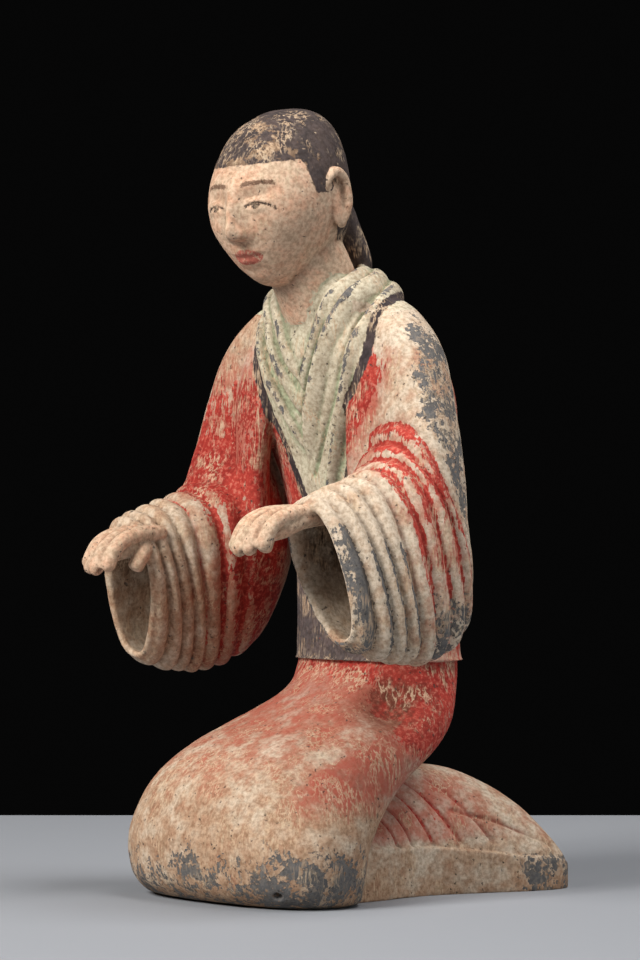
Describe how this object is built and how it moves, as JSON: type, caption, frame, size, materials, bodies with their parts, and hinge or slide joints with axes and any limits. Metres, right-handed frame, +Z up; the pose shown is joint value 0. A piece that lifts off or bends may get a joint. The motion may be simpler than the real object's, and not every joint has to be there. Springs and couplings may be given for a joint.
{
  "type": "kneeling court lady figure",
  "caption": "Kneeling court lady in painted terracotta, both forearms held out under deep pleated sleeves, hair falling straight behind; stands on its flat underside.",
  "frame": {"origin": "on the ground, under the middle of the figure's box", "axes": "+Z up, the figure faces -Y and its left hand is on +X"},
  "size_m": [0.211, 0.2316, 0.3888],
  "materials": {
    "painted_terracotta": "fired red-brown clay under worn white ground and faded red, celadon, black and flesh paint, dry and matt"
  },
  "bodies": {
    "root": {"court_lady": "painted_terracotta"}
  },
  "joints": []
}
